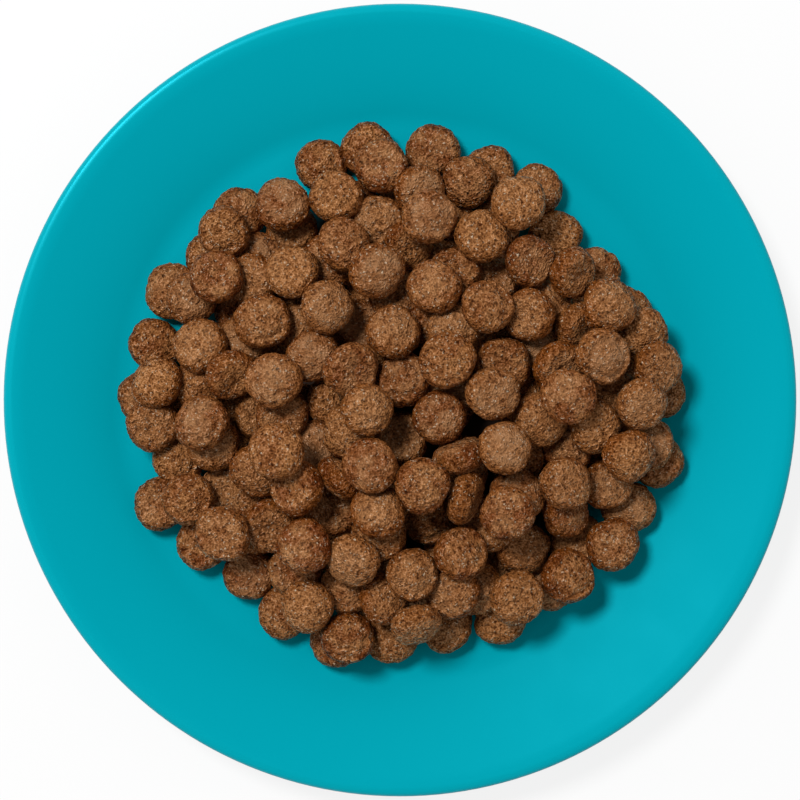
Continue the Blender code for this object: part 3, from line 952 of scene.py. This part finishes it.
def kibble_material(kibble):
    """Extruded meal, cut to discs and baked dry. Matt and gritty, mottled from grain to grain, with
    pits, pale specks of husk that also stand in as painted glints, a smoother golden edge that is
    partly painted shade, and meal dust on some of the faces. The pits and the hollows between the
    grains are darkened as painted shade.

    Each kibble's own object colour says how dusty, how golden and shaded at the edge, and how dark
    it is."""
    made, tree = new_material("baked_extruded_meal")
    coords = add_node(tree, "ShaderNodeTexCoord")
    own = add_node(tree, "ShaderNodeObjectInfo")
    tones = add_node(tree, "ShaderNodeSeparateColor", None, {"Color": own.outputs["Color"]})
    # Kibbles that share a mesh get their grain from different places
    place = add_node(
        tree, "ShaderNodeVectorMath", {"operation": "MULTIPLY_ADD"},
        {0: own.outputs["Color"], 1: (0.3, 0.3, 0.3), 2: coords.outputs["Object"]},
    ).outputs["Vector"]
    out = distance_out(tree, coords.outputs["Object"])
    edge = add_node(
        tree, "ShaderNodeMapRange", {"interpolation_type": "SMOOTHSTEP"},
        {
            "Value": out, "From Min": EDGE_FROM * kibble.diameter,
            "From Max": EDGE_TO * kibble.diameter,
        },
    )
    # Blotches 4 mm across, left by uneven baking
    blotches = add_node(
        tree, "ShaderNodeTexNoise", None, {"Vector": place, "Scale": per_metre(4), "Detail": 3}
    )
    # Grains of ground cereal, 1.1 mm
    grains = add_node(
        tree, "ShaderNodeTexNoise", None,
        {"Vector": place, "Scale": per_metre(1.1), "Detail": 1, "Roughness": 0.5},
    )
    # Fine grit. The real one is 0.1 to 0.3 mm and is drawn at 0.45 mm, so that it shows
    grit = add_node(
        tree, "ShaderNodeTexNoise", None,
        {"Vector": place, "Scale": per_metre(0.45), "Detail": 0},
    )
    # Bends the outlines of the specks and pits by up to 0.8 mm, so that none is a round dot
    bent = add_node(
        tree, "ShaderNodeVectorMath", {"operation": "MULTIPLY_ADD"},
        {0: grit.outputs["Color"], 1: (0.0008, 0.0008, 0.0008), 2: place},
    ).outputs["Vector"]
    # Specks of husk 0.75 mm apart, of which three in ten show, and pits 2.2 mm apart, of which one
    # in three is open. The pale husk specks are also painted glints
    husk_glint = scattered_spots(tree, bent, 0.75, "Red", 0.7, (0.05, 0.38), 0.75)
    pit = scattered_spots(tree, bent, 2.2, "Green", 0.66, (0.04, 0.2), 0.9)
    # Grains and grit together go from the dark crumbs to the light ones
    both = add_node(
        tree, "ShaderNodeMath", {"operation": "MULTIPLY_ADD"},
        {0: grit.outputs["Fac"], 1: 0.8, 2: grains.outputs["Fac"]},
    )
    pale = add_node(
        tree, "ShaderNodeMapRange", None,
        {"Value": both.outputs["Value"], "From Min": 0.54, "From Max": 1.26},
    )
    crumb = add_node(
        tree, "ShaderNodeMix", {"data_type": "RGBA"},
        {
            MIX_FACTOR: pale.outputs["Result"], MIX_A: (*kibble.dark_crumb, 1),
            MIX_B: (*kibble.light_crumb, 1),
        },
    )
    # The golden edge: a crust tint that also darkens the rim as painted shade
    golden_shaded = add_node(
        tree, "ShaderNodeMath", {"operation": "MULTIPLY"},
        {0: edge.outputs["Result"], 1: tones.outputs["Green"]},
    )
    # Dust lies in patches, and only on the face
    face = add_node(
        tree, "ShaderNodeMath", {"operation": "SUBTRACT"}, {0: 1, 1: edge.outputs["Result"]}
    )
    patchy = add_node(
        tree, "ShaderNodeMapRange", None,
        {"Value": blotches.outputs["Fac"], "From Min": 0.3, "From Max": 0.6},
    )
    dusty_face = add_node(
        tree, "ShaderNodeMath", {"operation": "MULTIPLY"},
        {0: face.outputs["Value"], 1: patchy.outputs["Result"]},
    )
    dusty = add_node(
        tree, "ShaderNodeMath", {"operation": "MULTIPLY"},
        {0: dusty_face.outputs["Value"], 1: tones.outputs["Red"]},
    )
    browned = add_node(
        tree, "ShaderNodeMapRange", None,
        {"Value": blotches.outputs["Fac"], "From Min": 0.65, "From Max": 0.35},
    )
    baked = add_node(
        tree, "ShaderNodeMath", {"operation": "MULTIPLY"},
        {0: browned.outputs["Result"], 1: tones.outputs["Blue"]},
    )
    # Painted shade: the hollows between the grains and the open pits are darkened
    between = add_node(
        tree, "ShaderNodeMapRange", None,
        {
            "Value": grit.outputs["Fac"], "From Min": 0.34, "From Max": 0.24,
            "To Min": 0, "To Max": 0.3,
        },
    )
    painted_shade_share = add_node(
        tree, "ShaderNodeMath", {"operation": "MAXIMUM"}, {0: between.outputs["Result"], 1: pit}
    )
    # Each layer lies over the last. The golden edge, which is partly painted shade, and the
    # browning tint what is under them. The hollow colour is painted shade, and the husk specks are
    # also painted glints
    colour = crumb.outputs[MIX_RESULT]
    for blend, share, layer in (
        ("MULTIPLY", golden_shaded.outputs["Value"], kibble.crust_and_shade),
        ("MIX", dusty.outputs["Value"], kibble.dust),
        ("MULTIPLY", baked.outputs["Value"], kibble.browning),
        ("MIX", painted_shade_share.outputs["Value"], kibble.hollow_shade),
        ("MIX", husk_glint, kibble.fleck_and_glint),
    ):
        colour = add_node(
            tree, "ShaderNodeMix", {"data_type": "RGBA", "blend_type": blend},
            {MIX_FACTOR: share, MIX_A: colour, MIX_B: (*layer, 1)},
        ).outputs[MIX_RESULT]
    # Height: grains and grit, with husks standing out and pits sinking in
    rough = add_node(
        tree, "ShaderNodeMath", {"operation": "MULTIPLY_ADD"},
        {0: grit.outputs["Fac"], 1: 0.6, 2: grains.outputs["Fac"]},
    )
    raised = add_node(
        tree, "ShaderNodeMath", {"operation": "MULTIPLY_ADD"},
        {0: husk_glint, 1: 0.3, 2: rough.outputs["Value"]},
    )
    height = add_node(
        tree, "ShaderNodeMath", {"operation": "MULTIPLY_ADD"},
        {0: pit, 1: -0.6, 2: raised.outputs["Value"]},
    )
    relief = add_node(
        tree, "ShaderNodeBump", None,
        {"Height": height.outputs["Value"], "Strength": 1, "Distance": kibble.grit},
    )
    # Only the crumbs that stand out catch a light. The hollows between them don't
    glint = add_node(
        tree, "ShaderNodeMapRange", None,
        {
            "Value": both.outputs["Value"], "From Min": 0.9, "From Max": 1.15,
            "To Min": 0.05, "To Max": 1,
        },
    )
    shader = add_node(
        tree, "ShaderNodeBsdfPrincipled", None,
        {
            "Base Color": colour, "Roughness": 0.36, "IOR": 1.5,
            "Specular IOR Level": glint.outputs["Result"],
            "Specular Tint": (*linear(CRUMB_GLINT), 1),
            "Normal": relief.outputs["Normal"],
        },
    )
    add_node(tree, "ShaderNodeOutputMaterial", None, {"Surface": shader.outputs["BSDF"]})
    return made


def even_skin(detail):
    """Directions and faces of a ball with even triangles, which kibbles are pressed from."""
    solid = bmesh.new()
    bmesh.ops.create_icosphere(solid, subdivisions=detail, radius=1)
    solid.verts.index_update()
    directions = np.array([vert.co.normalized() for vert in solid.verts])
    faces = [[vert.index for vert in face.verts] for face in solid.faces]
    solid.free()
    return directions, faces


def pressed(directions, radius, half):
    """How far out and how high the skin of a round-edged disc lies, as shares of its radius and of
    half its thickness, so that a ball's even triangles stay even on it."""
    turn = np.linspace(0, math.pi / 2, 400)
    out = np.sin(turn) ** (2 / EDGE_POWER)
    up = np.cos(turn)
    lengths = np.hypot(np.diff(out) * radius, np.diff(up) * half)
    areas = np.concatenate([[0], np.cumsum(lengths * (out[1:] + out[:-1]))])
    inwards = (1 - np.abs(directions[:, 2])) * areas[-1]
    return np.interp(inwards, areas, out), np.interp(inwards, areas, up)


def ring(out, middle, width):
    """A smooth ridge round a disc, at a share of its radius."""
    return np.exp(-(((out - middle) / width) ** 2))


def face_relief(form, out):
    """How far a kibble's upper face stands above a plain one, in millimetres."""
    return sum(height * ring(out, middle, width) for height, middle, width in RELIEFS[form])


def kibble_mesh(kibble, name, form, number, detail):
    """One kibble's mesh: a pressed disc with its own outline, warp, faces and crumbs."""
    draw = random.Random(f"{form} {number}")
    radius, half = kibble.diameter / 2, kibble.thickness / 2
    directions, faces = even_skin(detail)
    out, up = pressed(directions, radius, half)
    angle = np.arctan2(directions[:, 1], directions[:, 0])
    outline = np.full(len(directions), radius)
    for count in (2, 3, 4, 5):
        reach = draw.uniform(-1, 1) * kibble.wobble * 2 / count
        outline += reach * np.cos(count * angle + draw.uniform(0, 2 * math.pi))
    across, along = out * outline * np.cos(angle), out * outline * np.sin(angle)
    upper = directions[:, 2] > 0
    heights = np.where(upper, up * half + face_relief(form, out) / 1000, -up * half)
    bend = draw.uniform(-1, 1) * kibble.warp
    heights += bend * out**2 * np.cos(2 * angle + draw.uniform(0, 2 * math.pi))
    points = np.column_stack([across, along, heights])
    mesh = bpy.data.meshes.new(name)
    mesh.from_pydata(points.tolist(), [], faces)
    normals = np.empty(points.size)
    mesh.vertices.foreach_get("normal", normals)
    start = Vector([draw.uniform(0, 100) for _ in range(3)])
    crumbs = []
    for point in points:
        spot = Vector(point)
        dent = noise.noise(spot * per_metre(DENT_GAP) + start)
        crumb = noise.fractal(spot * per_metre(CRUMB_GAP) + start, 0.8, 2, 2)
        pit = max(0, noise.noise(spot * per_metre(PIT_GAP) - start) - PIT_LEVEL)
        crumbs.append(DENT_HEIGHT * dent + crumb - PIT_DEPTH * pit)
    points += normals.reshape(-1, 3) * np.array(crumbs)[:, None] * kibble.lumps
    mesh.vertices.foreach_set("co", points.ravel())
    mesh.update()
    mesh.shade_smooth()
    return mesh


def shared_material(kibble):
    """The one material that all kibbles share, made when it is first wanted."""
    return bpy.data.materials.get("baked_extruded_meal") or kibble_material(kibble)


def shared_mesh(kibble, form, number, detail):
    """The mesh of one kind of kibble, made when it is first wanted."""
    name = f"{form}_kibble_{number}_detail_{detail}"
    mesh = bpy.data.meshes.get(name)
    if mesh is None:
        mesh = kibble_mesh(kibble, name, form, number, detail)
        mesh.materials.append(shared_material(kibble))
    return mesh


def add_kibble(kibble, name, laid, form, draw, detail, dusty, node):
    """Adds one kibble where it was laid, turned at random about its own axis."""
    number = draw.randrange(FORMS[form])
    piece = add_object(name, shared_mesh(kibble, form, number, detail))
    spin = Matrix.Rotation(draw.uniform(0, 2 * math.pi), 3, "Z").to_quaternion()
    # Its lean, without the turn about its own axis that it was laid with
    upright = Vector((0, 0, 1))
    lean = upright.rotation_difference(laid.rotation @ upright)
    piece.location = laid.position
    piece.rotation_mode = "QUATERNION"
    piece.rotation_quaternion = lean @ spin
    piece.scale = [laid.size] * 3
    dust = draw.uniform(*(DUSTY if dusty else CLEAN))
    # Red is dust, green the golden edge with its painted shade, blue how dark the kibble is
    piece.color = (dust, draw.uniform(*GOLDEN_SHADED), draw.uniform(*DARK), 1)
    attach(piece, "root")
    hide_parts(node)


class PETFOOD_OT_add_top_kibbles(bpy.types.Operator):
    """Lay the uppermost kibbles, each for its own solid"""

    bl_idname = "pet_food.add_top_kibbles"
    bl_label = "Add top kibbles"

    def execute(self, context):
        draw = random.Random(TOP_SEED)
        for number, laid in numbered(UPPER_SIDES):
            form = draw.choice(OTHER_FORMS)
            for noted, numbers in NOTED_FORMS.items():
                form = noted if number in numbers else form
            add_kibble(
                context.scene.pet_food_kibble, f"top_kibble_{number:02d}", laid, form, draw,
                SHOWN_DETAIL, number in DUSTY_TOP, f"kibble_{number:02d}",
            )
        return {"FINISHED"}


class PETFOOD_OT_add_low_kibbles(bpy.types.Operator):
    """Lay the kibbles that show below the uppermost ones"""

    bl_idname = "pet_food.add_low_kibbles"
    bl_label = "Add low kibbles"

    def execute(self, context):
        draw = random.Random(LOW_SEED)
        for number, laid in numbered(LOWER_SIDES):
            form = draw.choice(list(FORMS))
            add_kibble(
                context.scene.pet_food_kibble, f"low_kibble_{number:02d}", laid, form, draw,
                SHOWN_DETAIL, draw.random() < DUSTY_LOW_SHARE, "lower_kibbles",
            )
        return {"FINISHED"}


class PETFOOD_OT_add_inner_kibbles(bpy.types.Operator):
    """Lay the kibbles inside the heap, which only show through its gaps"""

    bl_idname = "pet_food.add_inner_kibbles"
    bl_label = "Add inner kibbles"

    def execute(self, context):
        draw = random.Random(INNER_SEED)
        for number, laid in numbered(HIDDEN_SIDES):
            add_kibble(
                context.scene.pet_food_kibble, f"inner_kibble_{number:02d}", laid, "flat", draw,
                INNER_DETAIL, False, "lower_kibbles",
            )
        return {"FINISHED"}


# Stage


def paper_material(stage):
    """Matt white background paper. It shows white to the camera and in the glaze, and keeps the
    soft shadow of the plate."""
    made, tree = new_material("matt_background_paper")
    path = add_node(tree, "ShaderNodeLightPath")
    reflected = add_node(
        tree, "ShaderNodeMath", {"operation": "MAXIMUM"},
        {0: path.outputs["Is Glossy Ray"], 1: path.outputs["Is Transmission Ray"]},
    )
    seen = add_node(
        tree, "ShaderNodeMath", {"operation": "MAXIMUM"},
        {0: path.outputs["Is Camera Ray"], 1: reflected.outputs["Value"]},
    )
    glow = add_node(
        tree, "ShaderNodeMath", {"operation": "MULTIPLY"},
        {0: seen.outputs["Value"], 1: stage.floor_glow},
    )
    shader = add_node(
        tree, "ShaderNodeBsdfPrincipled", None,
        {
            "Base Color": (*stage.floor, 1), "Roughness": 1, "Specular IOR Level": 0,
            "Emission Color": (1, 1, 1, 1), "Emission Strength": glow.outputs["Value"],
        },
    )
    add_node(tree, "ShaderNodeOutputMaterial", None, {"Surface": shader.outputs["BSDF"]})
    return made


def key_way(rise):
    """The direction of the key light, which stands at the photograph's upper left."""
    side = math.cos(rise) * math.sqrt(0.5)
    return Vector((-side, side, math.sin(rise)))


def tent_world(stage):
    """A light tent: white walls, a little brighter on the key light's side, and dark towards the
    opening overhead that the camera looks through."""
    world = bpy.data.worlds.new("light_tent")
    world.use_nodes = True
    tree = world.node_tree
    tree.nodes.clear()
    coords = add_node(tree, "ShaderNodeTexCoord")
    way = add_node(tree, "ShaderNodeSeparateXYZ", None, {"Vector": coords.outputs["Generated"]})
    upwards = add_node(tree, "ShaderNodeMath", {"operation": "POWER"}, {0: way.outputs["Z"], 1: 2})
    level = add_node(
        tree, "ShaderNodeMath", {"operation": "MULTIPLY_ADD"},
        {
            0: upwards.outputs["Value"], 1: stage.tent_opening - stage.tent_level,
            2: stage.tent_level,
        },
    )
    to_key = add_node(
        tree, "ShaderNodeVectorMath", {"operation": "DOT_PRODUCT"},
        {0: coords.outputs["Generated"], 1: key_way(0)},
    )
    slant = add_node(
        tree, "ShaderNodeMath", {"operation": "MULTIPLY_ADD"},
        {0: to_key.outputs["Value"], 1: stage.tent_slant, 2: 1},
    )
    lit = add_node(
        tree, "ShaderNodeMath", {"operation": "MULTIPLY"},
        {0: level.outputs["Value"], 1: slant.outputs["Value"]},
    )
    walls = add_node(
        tree, "ShaderNodeBackground", None,
        {"Color": (1, 1, 1, 1), "Strength": lit.outputs["Value"]},
    )
    add_node(tree, "ShaderNodeOutputWorld", None, {"Surface": walls.outputs["Background"]})
    return world


class PETFOOD_OT_set_stage(bpy.types.Operator):
    """Put up the floor, the light tent, the key light and the camera"""

    bl_idname = "pet_food.set_stage"
    bl_label = "Set stage"

    def execute(self, context):
        stage = context.scene.pet_food_stage
        mesh = bpy.data.meshes.new("paper_floor")
        signs = ((-1, -1), (1, -1), (1, 1), (-1, 1))
        corners = [(PAPER_REACH * across, PAPER_REACH * along, 0) for across, along in signs]
        mesh.from_pydata(corners, [], [range(len(corners))])
        mesh.materials.append(paper_material(stage))
        add_object("paper_floor", mesh)
        context.scene.world = tent_world(stage)
        key = bpy.data.lights.new("key_light", "AREA")
        key.shape = "DISK"
        key.size = stage.key_size
        key.energy = stage.key_power
        lamp = add_object("key_light", key)
        lamp.location = stage.key_distance * key_way(stage.key_rise)
        lamp.rotation_mode = "QUATERNION"
        lamp.rotation_quaternion = lamp.location.to_track_quat("Z", "Y")
        lens = bpy.data.cameras.new("overhead_camera")
        camera = add_object("overhead_camera", lens)
        camera.location = (0, 0, stage.camera_height)
        lens.lens = lens.sensor_width * (stage.camera_height - PLATE_HEIGHT) / stage.view_width
        lens.clip_start = 0.01
        context.scene.camera = camera
        context.scene.view_settings.view_transform = "Standard"
        return {"FINISHED"}


class PETFOOD_PT_sidebar(bpy.types.Panel):
    """Lists the settings and the steps that build the plate"""

    bl_idname = "PETFOOD_PT_sidebar"
    bl_label = "Plate of dry pet food"
    bl_space_type = "VIEW_3D"
    bl_region_type = "UI"
    bl_category = "Pet food"

    def draw(self, context):
        for name, _, steps in GROUPS:
            settings = getattr(context.scene, name)
            box = self.layout.box()
            for value in settings.__annotations__:
                box.prop(settings, value)
            for step in steps:
                box.operator(step.bl_idname)


# Each group of settings by its name in the scene, with the steps that use it
GROUPS = (
    ("pet_food_plate", PlateSettings, (PETFOOD_OT_add_plate,)),
    (
        "pet_food_kibble", KibbleSettings,
        (PETFOOD_OT_add_top_kibbles, PETFOOD_OT_add_low_kibbles, PETFOOD_OT_add_inner_kibbles),
    ),
    ("pet_food_stage", StageSettings, (PETFOOD_OT_set_stage,)),
)
CLASSES = (
    *(settings for _, settings, _ in GROUPS), *(step for _, _, steps in GROUPS for step in steps),
    PETFOOD_PT_sidebar,
)


def register():
    for kind in CLASSES:
        bpy.utils.register_class(kind)
    for name, settings, _ in GROUPS:
        setattr(bpy.types.Scene, name, bpy.props.PointerProperty(type=settings))


def unregister():
    for name, _, _ in reversed(GROUPS):
        delattr(bpy.types.Scene, name)
    for kind in reversed(CLASSES):
        bpy.utils.unregister_class(kind)


def main():
    register()
    bpy.ops.pet_food.add_plate()
    bpy.ops.pet_food.add_top_kibbles()
    bpy.ops.pet_food.add_low_kibbles()
    bpy.ops.pet_food.add_inner_kibbles()
    bpy.ops.pet_food.set_stage()


if __name__ == "__main__":
    main()
